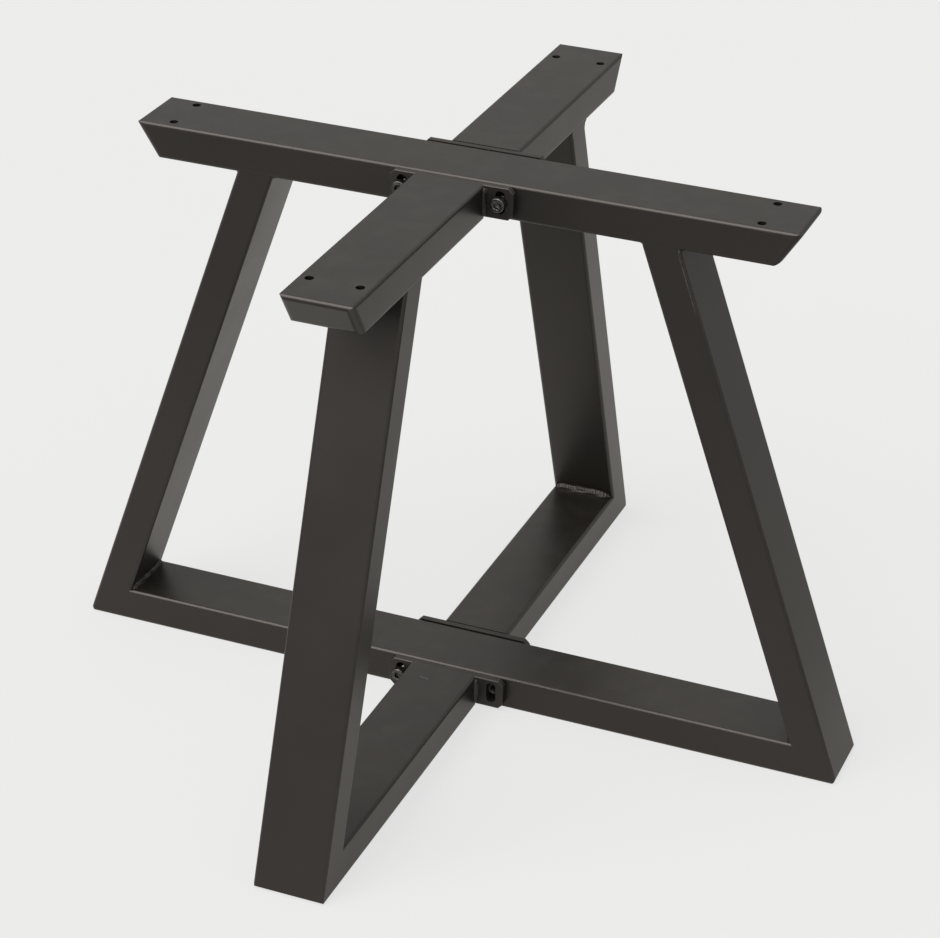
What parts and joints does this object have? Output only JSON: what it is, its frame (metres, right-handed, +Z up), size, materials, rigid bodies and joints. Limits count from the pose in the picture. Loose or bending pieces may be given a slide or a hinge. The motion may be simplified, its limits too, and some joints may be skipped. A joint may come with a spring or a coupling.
{
  "type": "coffee table base",
  "caption": "Crossed table base of rectangular steel tube: splayed frames with level floor rails, bolted together at the middle, and top rails drilled for a tabletop.",
  "frame": {"origin": "point on the floor under the middle of the crossing", "axes": "+Z up; +X along the frame that runs through, to its right end; +Y along the two half frames, to the rear one"},
  "size_m": [0.5798, 0.5798, 0.404],
  "materials": {
    "frame_coat": "dark warm grey powder coat, satin with a fine texture",
    "plate_coat": "dark warm grey powder coat over cut steel plate",
    "weld_coat": "dark warm grey powder coat over uneven weld",
    "screw_steel": "dark plated steel, worn bright on the rim",
    "insert_steel": "dull plated steel"
  },
  "bodies": {
    "root": {"long_top_rail": "frame_coat", "long_bottom_rail": "frame_coat", "long_left_leg": "frame_coat", "long_right_leg": "frame_coat", "long_left_end_cap": "frame_coat", "long_right_end_cap": "frame_coat", "front_top_rail": "frame_coat", "front_bottom_rail": "frame_coat", "front_leg": "frame_coat", "front_end_cap": "frame_coat", "rear_top_rail": "frame_coat", "rear_bottom_rail": "frame_coat", "rear_leg": "frame_coat", "rear_end_cap": "frame_coat", "front_upper_plate": "plate_coat", "front_lower_plate": "plate_coat", "rear_upper_plate": "plate_coat", "rear_lower_plate": "plate_coat", "long_frame_welds": "weld_coat", "front_half_welds": "weld_coat", "rear_half_welds": "weld_coat", "front_screws": "screw_steel", "rear_screws": "screw_steel", "threaded_inserts": "insert_steel"}
  },
  "joints": []
}
